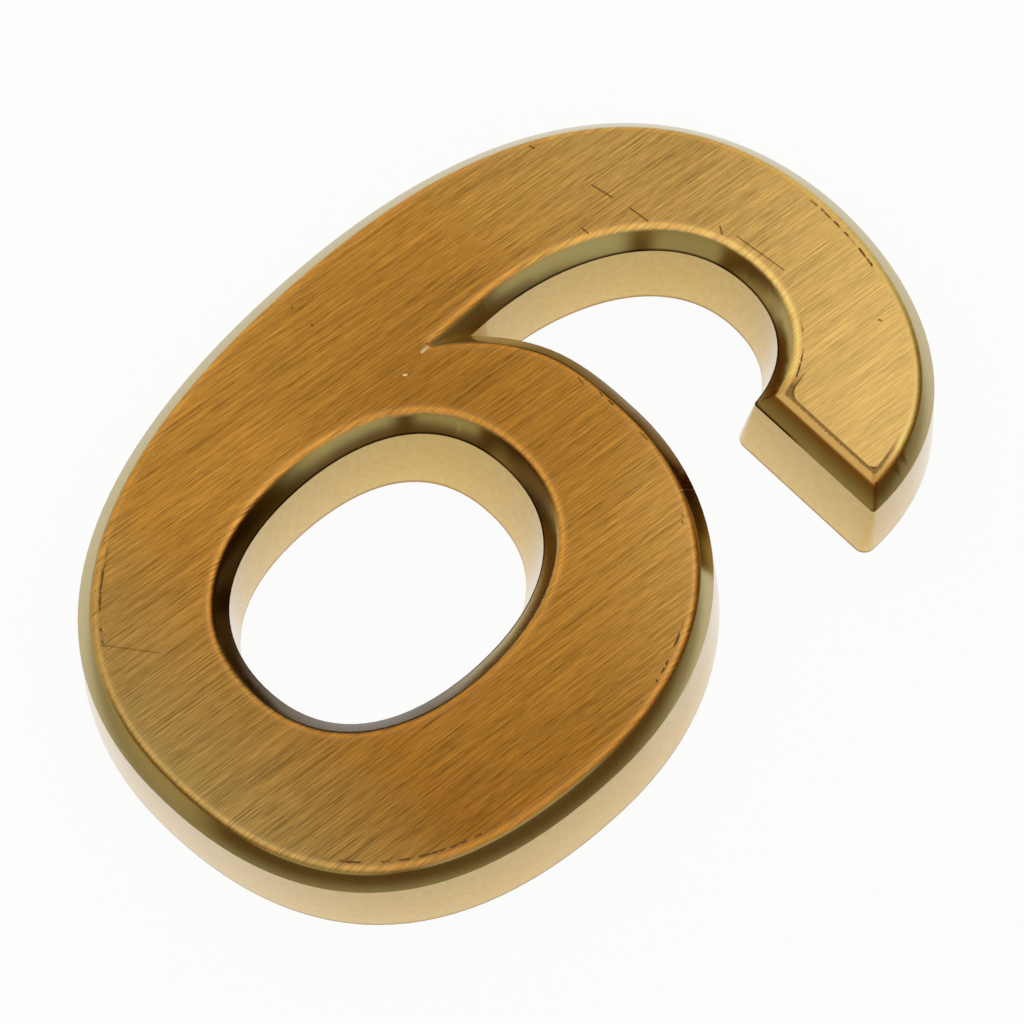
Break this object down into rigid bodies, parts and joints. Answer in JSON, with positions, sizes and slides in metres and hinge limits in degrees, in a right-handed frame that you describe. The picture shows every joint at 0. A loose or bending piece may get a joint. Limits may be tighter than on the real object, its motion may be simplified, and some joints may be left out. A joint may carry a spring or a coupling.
{
  "type": "door number",
  "caption": "Moulded plastic door digit, a bronze-coloured six with brushed face, bevelled edge, drafted walls, oval counter and a cored, ribbed back that fixes flat to a door.",
  "frame": {"origin": "middle of the base outline's box, on the plane of the back rim that lies against the door", "axes": "+X to the digit's right as read, +Y up to the digit's crown, +Z out of the brushed face, away from the door"},
  "size_m": [0.04, 0.0598, 0.0068],
  "materials": {
    "metallised_abs": "vacuum-metallised ABS with an antique bronze lacquer: brushed on the face, glossy on bevel and walls"
  },
  "bodies": {
    "root": {"number_six": "metallised_abs"}
  },
  "joints": []
}
